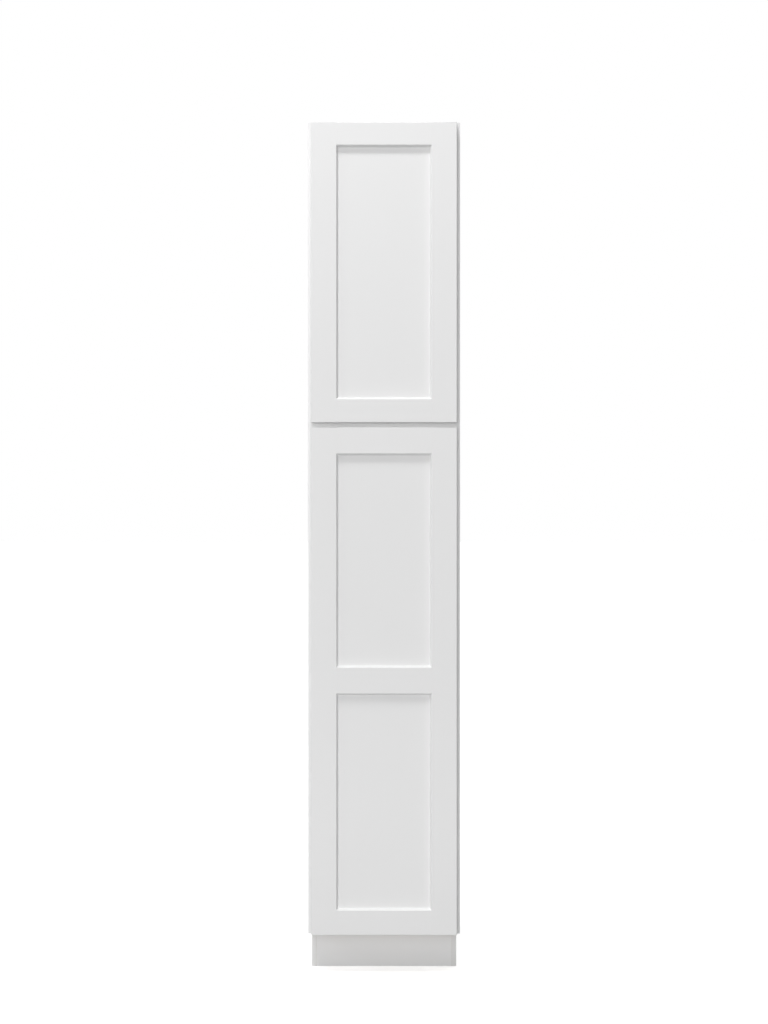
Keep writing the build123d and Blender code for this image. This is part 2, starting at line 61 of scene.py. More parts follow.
def add(tree, kind, inputs=None, **settings):
    """Adds one shader node. Inputs are values or the sockets that feed them."""
    made = tree.nodes.new("ShaderNode" + kind)
    for key, value in settings.items():
        setattr(made, key, value)
    for key, value in (inputs or {}).items():
        if isinstance(value, bpy.types.NodeSocket):
            tree.links.new(value, made.inputs[key])
        else:
            made.inputs[key].default_value = value
    return made


def new_finish(name):
    """An empty material, its node tree and its surface shader."""
    material = bpy.data.materials.new(name)
    material.use_nodes = True
    return material, material.node_tree, material.node_tree.nodes["Principled BSDF"]


def stretched(tree, point, sizes, shift=(0, 0, 0)):
    """Object coordinates divided by a pattern's real size along each axis."""
    scale = [1 / size for size in sizes]
    return add(tree, "Mapping", {"Vector": point, "Scale": scale, "Location": shift}).outputs[0]


figure_width, figure_length = 45 * mm, 600 * mm
growth_lines = 13.0
late_wood_sharpness, late_wood_share = 2.6, 0.42
# fibres are drawn at 1.2 mm because the real 0.3 mm would not show
fibre_width, fibre_length = 1.2 * mm, 60 * mm
fleck_width, fleck_length = 1.6 * mm, 14 * mm
fleck_range = {"From Min": 0.66, "From Max": 0.78, "To Min": 0.0, "To Max": 0.55}
cloud_width, cloud_length = 120 * mm, 400 * mm
ply_thickness = 1.4 * mm
ply_waviness, ply_wave_length = 0.3, 14 * mm
ply_change = {"From Min": 0.38, "From Max": 0.62, "To Min": 0.0, "To Max": 1.0}
sheet_spacing = 5.1
squarely = 0.6
paint_wrap = 0.3 * mm
fibre_relief = 0.15 * mm
noise_span = {"From Min": 0.3, "From Max": 0.7}


def birch_plywood(name, node, grain, through, lacquered=False, banded=False):
    """Rotary-cut birch plywood under a clear satin coat. The faces show pale cream veneer with slow
    cathedral figure, fine fibres and short brown flecks. A cut edge shows light and dark plies.
    lacquered paints the outer face and front edge white. banded veneers the front edge."""
    material, tree, surface = new_finish(name)
    place = add(tree, "TexCoord")
    point = place.outputs["Object"]
    low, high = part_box(node)
    # each sheet is cut from another part of the pattern
    shift = [
        sheet_spacing * (low[i] + 2 * low[(i + 1) % 3] + 3 * high[(i + 2) % 3]) for i in range(3)
    ]

    def along_grain(width, length):
        return [length if axis == grain else width for axis in range(3)]

    # cathedral figure: slow hills, cut into growth lines like a contour map
    hill_size = along_grain(figure_width, figure_length)
    hills = add(
        tree, "TexNoise",
        {"Vector": stretched(tree, point, hill_size, shift), "Scale": 1.0, "Detail": 1.5, "Roughness": 0.4},
    )
    heights = add(tree, "Math", {0: hills.outputs["Fac"], 1: growth_lines}, operation="MULTIPLY")
    rings = add(tree, "Math", {0: heights.outputs[0], 1: 1.0}, operation="PINGPONG")
    late_wood = add(tree, "Math", {0: rings.outputs[0], 1: late_wood_sharpness}, operation="POWER")
    fibre_size = along_grain(fibre_width, fibre_length)
    fibres = add(
        tree, "TexNoise",
        {"Vector": stretched(tree, point, fibre_size), "Scale": 1.0, "Detail": 4.0, "Roughness": 0.6},
    )
    fleck_size = along_grain(fleck_width, fleck_length)
    flecks = add(
        tree, "TexNoise",
        {"Vector": stretched(tree, point, fleck_size, shift), "Scale": 1.0, "Detail": 1.0},
    )
    dark = add(tree, "MapRange", {"Value": flecks.outputs["Fac"], **fleck_range})
    cloud_size = along_grain(cloud_width, cloud_length)
    cloud = add(
        tree, "TexNoise",
        {"Vector": stretched(tree, point, cloud_size, shift), "Scale": 1.0, "Detail": 2.0},
    )
    pale = add(
        tree, "Mix", {"Factor": cloud.outputs["Fac"], "A": linear("#D9BE92"), "B": linear("#E9D6B1")},
        data_type="RGBA",
    )
    lines = add(tree, "Math", {0: late_wood.outputs[0], 1: late_wood_share}, operation="MULTIPLY")
    ringed = add(
        tree, "Mix", {"Factor": lines.outputs[0], "A": pale.outputs["Result"], "B": linear("#BE9866")},
        data_type="RGBA",
    )
    flecked = add(
        tree, "Mix", {"Factor": dark.outputs[0], "A": ringed.outputs["Result"], "B": linear("#9A7446")},
        data_type="RGBA",
    )
    streak = add(
        tree, "MapRange",
        {"Value": fibres.outputs["Fac"], "To Min": 0.90, "To Max": 1.05, **noise_span},
    )
    veneer = add(
        tree, "VectorMath", {0: flecked.outputs["Result"], "Scale": streak.outputs[0]},
        operation="SCALE",
    )

    # cut edge: an odd number of plies through the sheet
    thick = high[through] - low[through]
    plies = 2 * round((thick / ply_thickness - 1) / 2) + 1
    split = add(tree, "SeparateXYZ", {"Vector": point})
    depth = add(
        tree, "MapRange",
        {"Value": split.outputs[through], "From Min": low[through], "From Max": high[through],
         "To Min": 0.5, "To Max": plies + 0.5},
        clamp=False,
    )
    wave = add(tree, "TexNoise", {"Vector": point, "Scale": 1 / ply_wave_length, "Detail": 2.0})
    wavy = add(
        tree, "Math", {0: wave.outputs["Fac"], 1: ply_waviness, 2: depth.outputs[0]},
        operation="MULTIPLY_ADD",
    )
    stripe = add(tree, "Math", {0: wavy.outputs[0], 1: 1.0}, operation="PINGPONG")
    ply = add(tree, "MapRange", {"Value": stripe.outputs[0], **ply_change})
    end_grain = add(
        tree, "MapRange",
        {"Value": fibres.outputs["Fac"], "To Min": 0.86, "To Max": 1.06, **noise_span},
    )
    edge_tone = add(
        tree, "Mix", {"Factor": ply.outputs[0], "A": linear("#B08A58"), "B": linear("#DEC59A")},
        data_type="RGBA",
    )
    edge = add(
        tree, "VectorMath", {0: edge_tone.outputs["Result"], "Scale": end_grain.outputs[0]},
        operation="SCALE",
    )

    facing = add(tree, "SeparateXYZ", {"Vector": place.outputs["Normal"]})
    square_on = add(tree, "Math", {0: facing.outputs[through]}, operation="ABSOLUTE")
    on_face = add(tree, "Math", {0: square_on.outputs[0], 1: squarely}, operation="GREATER_THAN").outputs[0]
    on_front = add(tree, "Math", {0: facing.outputs["Y"], 1: -squarely}, operation="LESS_THAN").outputs[0]
    if banded:
        on_face = add(tree, "Math", {0: on_face, 1: on_front}, operation="MAXIMUM").outputs[0]
    wood = add(
        tree, "Mix", {"Factor": on_face, "A": edge.outputs[0], "B": veneer.outputs[0]}, data_type="RGBA"
    )
    colour = wood.outputs["Result"]
    gloss = add(
        tree, "MapRange",
        {"Value": fibres.outputs["Fac"], "To Min": 0.50, "To Max": 0.40, **noise_span},
    ).outputs[0]
    relief = fibres.outputs["Fac"]
    if lacquered:
        outer = max(abs(low.x), abs(high.x))
        aside = add(tree, "Math", {0: split.outputs["X"]}, operation="ABSOLUTE")
        outside = add(
            tree, "Math", {0: aside.outputs[0], 1: outer - paint_wrap}, operation="GREATER_THAN"
        )
        white = add(tree, "Math", {0: outside.outputs[0], 1: on_front}, operation="MAXIMUM").outputs[0]
        colour = add(
            tree, "Mix", {"Factor": white, "A": colour, "B": linear("#F0F0EF")}, data_type="RGBA"
        ).outputs["Result"]
        gloss = add(tree, "Mix", {"Factor": white, "A": gloss, "B": 0.36}).outputs["Result"]
        bare = add(tree, "MapRange", {"Value": white, "To Min": 1.0, "To Max": 0.12})
        relief = add(tree, "Math", {0: relief, 1: bare.outputs[0]}, operation="MULTIPLY").outputs[0]
    bump = add(tree, "Bump", {"Height": relief, "Strength": 0.2, "Distance": fibre_relief})
    tree.links.new(colour, surface.inputs["Base Color"])
    tree.links.new(gloss, surface.inputs["Roughness"])
    tree.links.new(bump.outputs[0], surface.inputs["Normal"])
    surface.inputs["IOR"].default_value = 1.5
    return material


def loose_object(name, bm):
    """Turns a bmesh into an object in the scene."""
    bmesh.ops.recalc_face_normals(bm, faces=bm.faces)
    mesh = bpy.data.meshes.new(name)
    bm.to_mesh(mesh)
    bm.free()
    made = bpy.data.objects.new(name, mesh)
    bpy.context.scene.collection.objects.link(made)
    return made


def keep_modified(piece):
    """Replaces a piece's mesh by the result of its modifiers."""
    graph = bpy.context.evaluated_depsgraph_get()
    result = bpy.data.meshes.new_from_object(piece.evaluated_get(graph))
    piece.modifiers.clear()
    piece.data = result


sharp_angle, crease_angle = math.radians(40), math.radians(50)


def ease(piece, arris, segments=2, weighted=False):
    """Rounds the arrises of a piece, as sanding does before the finish goes on. weighted takes the
    edges from their bevel weights and not from their angle."""
    rounding = piece.modifiers.new("eased arrises", "BEVEL")
    rounding.width = arris
    rounding.segments = segments
    rounding.limit_method = "WEIGHT" if weighted else "ANGLE"
    rounding.angle_limit = sharp_angle


def carve(piece, cutter_bm):
    """Cuts a shape out of a piece."""
    cutter = loose_object("cutter", cutter_bm)
    cut = piece.modifiers.new("cut", "BOOLEAN")
    cut.operation = "DIFFERENCE"
    cut.solver = "EXACT"
    cut.object = cutter
    keep_modified(piece)
    bpy.data.objects.remove(cutter)


def complete(piece, material, body, slot, *nodes):
    """Shades a piece smooth with its flat faces flat, gives it its finish and body, and hides its CAD
    nodes.
    """
    piece.data.materials.clear()
    piece.data.materials.append(material)
    piece.data.shade_smooth()
    piece.data.set_sharp_from_angle(angle=crease_angle)
    flat = piece.modifiers.new("flat faces", "WEIGHTED_NORMAL")
    flat.keep_sharp = True
    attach(piece, body)
    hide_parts(*nodes)


def prism(bm, outline, start, end, place):
    """Adds a straight bar of any section. place turns (a, b, along) into a point."""
    near = [bm.verts.new(place(a, b, start)) for a, b in outline]
    far = [bm.verts.new(place(a, b, end)) for a, b in outline]
    bm.faces.new(near)
    bm.faces.new(list(reversed(far)))
    for i in range(len(outline)):
        j = (i + 1) % len(outline)
        bm.faces.new((near[i], far[i], far[j], near[j]))


def block(bm, low, high):
    """Adds a square-edged block between two corners."""
    corners = [(low[0], low[1]), (high[0], low[1]), (high[0], high[1]), (low[0], high[1])]
    prism(bm, corners, low[2], high[2], lambda a, b, along: (a, b, along))


def lathe(bm, profile, place, steps=24):
    """Adds a turned shape. profile is (radius, along) in mm, place turns (a, b, along) into a point."""
    turns = [2 * math.pi * i / steps for i in range(steps)]
    rings = []
    for radius, along in profile:
        if radius == 0:
            rings.append([bm.verts.new(place(0, 0, along * mm))])
            continue
        ring = [(radius * mm * math.cos(turn), radius * mm * math.sin(turn)) for turn in turns]
        rings.append([bm.verts.new(place(a, b, along * mm)) for a, b in ring])
    for first, second in zip(rings, rings[1:]):
        for i in range(steps):
            j = (i + 1) % steps
            corners = [
                first[i % len(first)],
                first[j % len(first)],
                second[j % len(second)],
                second[i % len(second)],
            ]
            bm.faces.new(list(dict.fromkeys(corners)))


pin_pitch = 50.8 * mm
pin_row_front = 60 * mm
pin_row_back = 70 * mm
# the pin hole's sizes are in mm, as lathe takes them
pin_hole_radius = 2.5
pin_hole_depth = 9.0
hole_mouth = 0.3
past_face = -1
clear = 1 * mm
sheet_arris = 0.4 * mm
toe_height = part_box("face_frame_bottom_rail")[0].z
toe_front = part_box("toe_kick_board")[0].y
pin_rows = (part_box("right_side_panel")[0].y + pin_row_front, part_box("back_panel")[0].y - pin_row_back)


def pin_heights(floor_top, ceiling):
    """Heights of the pin holes in one compartment."""
    first = floor_top + 2 * pin_pitch
    count = int((ceiling - pin_pitch - first) / pin_pitch) + 1
    return [first + i * pin_pitch for i in range(count)]


hole_heights = pin_heights(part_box("bottom_deck")[1].z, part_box("middle_deck")[0].z)
hole_heights += pin_heights(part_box("middle_deck")[1].z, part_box("top_panel")[0].z)
mouth = pin_hole_radius + hole_mouth
pin_drill = [
    (0, pin_hole_depth),
    (pin_hole_radius, pin_hole_depth),
    (pin_hole_radius, hole_mouth),
    (mouth, 0),
    (mouth, past_face),
    (0, past_face),
]
for side, sign in (("left", -1), ("right", 1)):
    low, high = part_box(f"{side}_side_panel")
    inner = min(abs(low.x), abs(high.x))
    outer = max(abs(low.x), abs(high.x))
    outline = [
        (toe_front, 0),
        (high.y, 0),
        (high.y, high.z),
        (low.y, high.z),
        (low.y, toe_height),
        (toe_front, toe_height),
    ]
    bm = bmesh.new()
    prism(bm, outline, sign * inner, sign * outer, lambda a, b, along: (along, a, b))
    piece = loose_object(f"{side}_side", bm)
    ease(piece, sheet_arris)
    for panel in ("bottom_deck", "middle_deck", "top_panel", "back_panel"):
        panel_low, panel_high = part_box(panel)
        front = panel_low.y if panel == "back_panel" else panel_low.y - clear
        top = panel_high.z + clear if panel_high.z > high.z - clear else panel_high.z
        ends = sorted((sign * (inner - clear), sign * panel_high.x))
        groove = bmesh.new()
        block(groove, (ends[0], front, panel_low.z), (ends[1], panel_high.y, top))
        carve(piece, groove)
    cutter = bmesh.new()
    for y in pin_rows:
        for z in hole_heights:
            lathe(cutter, pin_drill, lambda a, b, along: (sign * (inner + along), y + a, z + b))
    carve(piece, cutter)
    node = f"{side}_side_panel"
    label = f"birch plywood, {side} side, lacquered outside"
    sheet = birch_plywood(label, node, upright, level, lacquered=True)
    complete(piece, sheet, "cabinet", "birch_plywood", node)

# ---------------------------------------------------------------------------
# Decks, back and nail rails
# Clear-coated birch plywood let into grooves in the sides. The back is a 6 mm sheet with its grain
# upright, and three nail rails behind it take the screws that hold the cabinet to the wall.
# ---------------------------------------------------------------------------


def refinish(node, material):
    """Gives a CAD piece its own finish."""
    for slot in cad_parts[node].material_slots:
        slot.material = material


same_point = 0.001 * mm


def keep_cad(node, material, arris):
    """Keeps a CAD piece as it is, with its arrises eased and its own finish."""
    refinish(node, material)
    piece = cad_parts[node]
    skin = piece.modifiers.new("one skin", "WELD")
    skin.merge_threshold = same_point
    ease(piece, arris)
    flat = piece.modifiers.new("flat faces", "WEIGHTED_NORMAL")
    flat.keep_sharp = True


thin_arris, rail_arris = 0.3 * mm, 0.8 * mm
for node in ("bottom_deck", "middle_deck", "top_panel"):
    label = node.replace("_", " ")
    keep_cad(node, birch_plywood(f"birch plywood, {label}", node, front_to_back, upright), sheet_arris)
back_sheet = birch_plywood("birch plywood, back", "back_panel", upright, front_to_back)
keep_cad("back_panel", back_sheet, thin_arris)
for node in ("top_nail_rail", "middle_nail_rail", "bottom_nail_rail"):
    label = node.replace("_", " ")
    keep_cad(node, birch_plywood(f"birch plywood, {label}", node, level, front_to_back), rail_arris)

# ---------------------------------------------------------------------------
# Toe kick and face frame
# Hard maple 19 mm thick, joined with pairs of beech dowels and glue, then sanded flush and sprayed
# satin white. The toe kick is a thinner plywood board set back between the sides, sprayed to match;
# its white is drawn a little lighter than the frame's, as painted light for the shade of its recess.
# ---------------------------------------------------------------------------
spray_cloud = 140 * mm
# the spray texture is drawn at 1.6 mm because the real 0.5 mm would not show
spray_texture = 1.6 * mm
pore_width, pore_length = 1.8 * mm, 70 * mm
grain_share = 0.4
spray_relief = 0.10 * mm


def satin_lacquer(name, grain, darker="#EFEFEF", lighter="#F1F1F1"):
    """Catalysed lacquer sprayed over primed wood. The eye sees an even soft white with a broad dull
    highlight, a very fine spray texture, and a trace of the grain under it."""
    material, tree, surface = new_finish(name)
    point = add(tree, "TexCoord").outputs["Object"]
    cloud = add(tree, "TexNoise", {"Vector": point, "Scale": 1 / spray_cloud, "Detail": 2.0})
    tint = add(
        tree, "Mix", {"Factor": cloud.outputs["Fac"], "A": linear(darker), "B": linear(lighter)},
        data_type="RGBA",
    )
    peel = add(tree, "TexNoise", {"Vector": point, "Scale": 1 / spray_texture, "Detail": 2.0})
    grain_size = [pore_length if axis == grain else pore_width for axis in range(3)]
    telegraph = add(
        tree, "TexNoise",
        {"Vector": stretched(tree, point, grain_size), "Scale": 1.0, "Detail": 4.0, "Roughness": 0.6},
    )
    height = add(
        tree, "Math", {0: telegraph.outputs["Fac"], 1: grain_share, 2: peel.outputs["Fac"]},
        operation="MULTIPLY_ADD",
    )
    bump = add(tree, "Bump", {"Height": height.outputs[0], "Strength": 0.08, "Distance": spray_relief})
    gloss = add(
        tree, "MapRange",
        {"Value": cloud.outputs["Fac"], "To Min": 0.34, "To Max": 0.40, **noise_span},
    )
    tree.links.new(tint.outputs["Result"], surface.inputs["Base Color"])
    tree.links.new(gloss.outputs[0], surface.inputs["Roughness"])
    tree.links.new(bump.outputs[0], surface.inputs["Normal"])
    surface.inputs["IOR"].default_value = 1.48
    return material


beech_fleck = (4 * mm, 0.6 * mm, 0.6 * mm)


def bare_beech(name):
    """Bare turned beech. The eye sees a warm tan with short dark flecks along the dowel."""
    material, tree, surface = new_finish(name)
    point = add(tree, "TexCoord").outputs["Object"]
    fleck = add(
        tree, "TexNoise", {"Vector": stretched(tree, point, beech_fleck), "Scale": 1.0, "Detail": 3.0}
    )
    tone = add(
        tree, "Mix", {"Factor": fleck.outputs["Fac"], "A": linear("#B98A5A"), "B": linear("#D9B285")},
        data_type="RGBA",
    )
    bump = add(tree, "Bump", {"Height": fleck.outputs["Fac"], "Strength": 0.3, "Distance": 0.1 * mm})
    tree.links.new(tone.outputs["Result"], surface.inputs["Base Color"])
    tree.links.new(bump.outputs[0], surface.inputs["Normal"])
    surface.inputs["Roughness"].default_value = 0.62
    return material


def solids_of(node):
    """The separate solids in a CAD node, each as (centre, half size)."""
    bm = bmesh.new()
    bm.from_mesh(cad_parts[node].data)
    bmesh.ops.remove_doubles(bm, verts=bm.verts, dist=same_point)
    found = []
    seen = set()
    for first in bm.verts:
        if first in seen:
            continue
        seen.add(first)
        reached = [first]
        for vert in reached:
            for edge in vert.link_edges:
                other = edge.other_vert(vert)
                if other not in seen:
                    seen.add(other)
                    reached.append(other)
        low = Vector([min(vert.co[i] for vert in reached) for i in range(3)])
        high = Vector([max(vert.co[i] for vert in reached) for i in range(3)])
        found.append(((low + high) / 2, (high - low) / 2))
    bm.free()
    return found


def drill(bm, centre, axis, radius, start, end, steps=24):
    """Adds a round cutter along one axis, from start to end on that axis."""

    def place(a, b, along):
        point = list(centre)
        point[axis] = along
        point[(axis + 1) % 3] += a
        point[(axis + 2) % 3] += b
        return point

    first, last = start / mm, end / mm
    lathe(bm, [(0, first), (radius / mm, first), (radius / mm, last), (0, last)], place, steps)


upright_lacquer = satin_lacquer("satin white lacquer on maple, grain upright", upright)
level_lacquer = satin_lacquer("satin white lacquer on maple, grain level", level)
# the toe kick's white (#F6F6F6 to #F8F8F8, against #EFEFEF to #F1F1F1) is drawn lighter: painted light
# standing in for the light that the recess under the doors keeps off the board
toe_lacquer_with_painted_light = satin_lacquer("satin white lacquer on plywood, with painted light", level, "#F6F6F6", "#F8F8F8")
keep_cad("toe_kick_board", toe_lacquer_with_painted_light, sheet_arris)

frame_arris = 0.6 * mm
joint_arris = 0.08 * mm
dowel_slack = 0.05 * mm
screw_hole, screw_slack = 1.95 * mm, 0.05 * mm
dowels = solids_of("face_frame_dowels")
arm_screws = solids_of("upper_door_hinge_arm_screws") + solids_of("lower_door_hinge_arm_screws")
for member in ("left_stile", "right_stile", "top_rail", "middle_rail", "bottom_rail"):
    node = f"face_frame_{member}"
    low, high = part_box(node)
    is_stile = member.endswith("stile")
    bm = bmesh.new()
    block(bm, low, high)
    weight = bm.edges.layers.float.new("bevel_weight_edge")
    for edge in bm.edges:
        on_joint = not is_stile and abs(edge.verts[0].co.x - edge.verts[1].co.x) < clear
        edge[weight] = joint_arris / frame_arris if on_joint else 1.0
    piece = loose_object(f"frame_{member}", bm)
    ease(piece, frame_arris, weighted=True)
    cutter = bmesh.new()
    for centre, half in dowels:
        if low.z < centre.z < high.z and low.x - clear < centre.x < high.x + clear:
            reach = half.x + dowel_slack
            drill(cutter, centre, level, half.z + dowel_slack, centre.x - reach, centre.x + reach)
    if member == "left_stile":
        for centre, half in arm_screws:
            far_end = centre.x - half.x - screw_slack
            drill(cutter, centre, level, screw_hole, far_end, high.x + clear)
    carve(piece, cutter)
    finish_coat = upright_lacquer if is_stile else level_lacquer
    complete(piece, finish_coat, "cabinet", "white_lacquer", node)
keep_cad("face_frame_dowels", bare_beech("bare beech dowel"), thin_arris)

# ---------------------------------------------------------------------------
# Shelf pins
# Nickel-plated steel pins, four to a shelf. Each has a round stem pushed into its hole, a collar
# that stops against the side, and a flat tongue that the shelf lies on.
# ---------------------------------------------------------------------------
drawing_line = (0.25 * mm, 0.25 * mm, 9 * mm)
polish_smear = 6 * mm


def nickel_plate(name, rough):
    """Pressed or turned steel with bright nickel plating. The eye sees a warm grey mirror broken by
    fine drawing lines and a slightly uneven polish."""
    material, tree, surface = new_finish(name)
    point = add(tree, "TexCoord").outputs["Object"]
    drawn = add(
        tree, "TexNoise",
        {"Vector": stretched(tree, point, drawing_line), "Scale": 1.0, "Detail": 3.0, "Roughness": 0.6},
    )
    smear = add(tree, "TexNoise", {"Vector": point, "Scale": 1 / polish_smear, "Detail": 2.0})
    tone = add(
        tree, "Mix", {"Factor": smear.outputs["Fac"], "A": linear("#D2CEC6"), "B": linear("#BFBBB3")},
        data_type="RGBA",
    )
    spread = add(
        tree, "MapRange",
        {"Value": drawn.outputs["Fac"], "To Min": rough - 0.05, "To Max": rough + 0.10, **noise_span},
    )
    bump = add(tree, "Bump", {"Height": drawn.outputs["Fac"], "Strength": 0.12, "Distance": 0.03 * mm})
    surface.inputs["Metallic"].default_value = 1.0
    tree.links.new(tone.outputs["Result"], surface.inputs["Base Color"])
    tree.links.new(spread.outputs[0], surface.inputs["Roughness"])
    tree.links.new(bump.outputs[0], surface.inputs["Normal"])
    return material


turned_nickel = nickel_plate("nickel plate on turned steel", 0.22)
# turned profiles are (radius, distance along), and outlines (across, up), both in mm
pin_turning = [(0, 8), (2.0, 8), (2.45, 7.5), (2.45, 0), (4.2, 0), (4.5, -0.25), (4.25, -0.8), (0, -0.8)]
tongue_outline = [
    (-3.5, 0.6), (-3.3, 0.4), (3.3, 0.4), (3.5, 0.6), (3.5, 2.3), (3.3, 2.5), (-3.3, 2.5), (-3.5, 2.3)
]
collar_radius = 4.5 * mm
tongue_length, tongue_root = 9 * mm, 0.4 * mm
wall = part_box("right_side_panel")[0].x
for compartment in ("lower", "upper"):
    bm = bmesh.new()
    for centre, half in solids_of(f"{compartment}_shelf_pins"):
        sign = 1 if centre.x > 0 else -1
        z = centre.z - half.z + collar_radius
        top = centre.z + half.z
        lathe(bm, pin_turning, lambda a, b, along: (sign * (wall + along), centre.y + a, min(z + b, top)))
        tongue = [(centre.y + a * mm, z + b * mm) for a, b in tongue_outline]
        ends = (sign * (wall - tongue_length), sign * (wall - tongue_root))
        prism(bm, tongue, ends[0], ends[1], lambda a, b, along: (along, a, b))
    piece = loose_object(f"{compartment}_pins", bm)
    complete(piece, turned_nickel, "cabinet", "nickel_plated_steel", f"{compartment}_shelf_pins")

# ---------------------------------------------------------------------------
# Shelves
# Adjustable shelves of 19 mm birch plywood, clear coated, with a strip of birch veneer ironed on
# the front edge. Each lies loose on its four pins and can be moved to other holes.
# ---------------------------------------------------------------------------
shelf_arris = 0.6 * mm
for compartment, count in (("lower", 3), ("upper", 2)):
    for number in range(1, count + 1):
        node = f"{compartment}_shelf_{number}"
        label = f"birch plywood, {compartment} shelf {number}"
        keep_cad(node, birch_plywood(label, node, level, upright, banded=True), shelf_arris)

# ---------------------------------------------------------------------------
# Doors
# Five-piece shaker doors, with a middle rail in the lower one. The maple stiles and rails are 19 mm
# thick, sloped on the inner edge and grooved for the panel. The rails are coped over the slope,
# the outer front edge is rounded, and the whole door is sprayed satin white.
# ---------------------------------------------------------------------------
panel_recess = 9 * mm
slope = 5 * mm
groove_depth = 10 * mm
groove_back = 15.2 * mm
door_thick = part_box("upper_door_left_stile")[1].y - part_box("upper_door_left_stile")[0].y
tongue_slack = 0.2 * mm
outer_round = 1.5 * mm
round_steps = 4
inner_round = 0.5 * mm
inner_steps = 3
flat_enough = 0.1


def edge_section(width):
    """Section of a stile or end rail as (distance from the outer edge, depth from the front), then
    the corners of its end in front of the panel's face and of its end behind it."""
    lip = width + slope
    groove = lip - groove_depth
    points = [
        (0, 0),
        (width, 0),
        (lip, panel_recess),
        (groove, panel_recess),
        (groove, groove_back),
        (lip, groove_back),
        (lip, door_thick),
        (0, door_thick),
        (0, panel_recess),
    ]
    return points, [0, 1, 2, 3, 8], [8, 3, 4, 5, 6, 7]


def middle_section(width):
    """Section of the middle rail, sloped and grooved on both edges, measured from its centre."""
    half = edge_section(width / 2)[0][1:7]
    points = half + [(-distance, depth) for distance, depth in reversed(half)]
    return points, [11, 0, 1, 2, 9, 10], [9, 2, 3, 4, 5, 6, 7, 8]


def door_bar(name, section, place, start, end, coped):
    """A length of door section. Coped ends follow the slope of the bar that they meet."""
    points, front_part, back_part = section
    bm = bmesh.new()
    weight = bm.edges.layers.float.new("bevel_weight_edge")
    ends = []
    for side, direction in ((start, 1), (end, -1)):
        ring = []
        for distance, depth in points:
            set_back = slope * min(depth / panel_recess, 1) if coped else 0
            ring.append(bm.verts.new(place(distance, depth, side + direction * set_back)))
        ends.append(ring)
        bm.faces.new([ring[i] for i in front_part])
        bm.faces.new([ring[i] for i in back_part])
    for i in range(len(points)):
        j = (i + 1) % len(points)
        bm.faces.new((ends[0][i], ends[0][j], ends[1][j], ends[1][i]))
    for edge in bm.edges:
        if edge.calc_face_angle(0) > flat_enough:
            edge[weight] = joint_arris / inner_round
    for i, (distance, depth) in enumerate(points):
        if depth == 0:
            along = bm.edges.get((ends[0][i], ends[1][i]))
            along[weight] = 0.0 if distance == 0 else 1.0
    piece = loose_object(name, bm)
    ease(piece, inner_round, inner_steps, weighted=True)
    return piece


def add_tongues(rail, low_side, high_side, place, start, end):
    """Adds the tongues on a rail's two ends, which fill the grooves of the stiles."""
    tongue = [
        (low_side, panel_recess),
        (high_side, panel_recess),
        (high_side, groove_back),
        (low_side, groove_back),
    ]
    reach = groove_depth - slope - tongue_slack
    bm = bmesh.new()
    bm.from_mesh(rail.data)
    prism(bm, tongue, start - reach, start + slope, place)
    prism(bm, tongue, end - slope, end + reach, place)
    bmesh.ops.recalc_face_normals(bm, faces=bm.faces)
    bm.to_mesh(rail.data)
    bm.free()


def rounded_edge(cutter, place, start, end):
    """Adds the cutter that rounds an outer front edge of the finished door. place turns (distance
    in from the edge, depth, along) into a point."""
    turns = [math.radians(270 - 90 * i / round_steps) for i in range(round_steps + 1)]
    arc = [(outer_round * (1 + math.cos(turn)), outer_round * (1 + math.sin(turn))) for turn in turns]
    outline = [(-clear, -clear), (outer_round, -clear)] + arc + [(-clear, outer_round)]
    prism(cutter, outline, start - clear, end + clear, place)


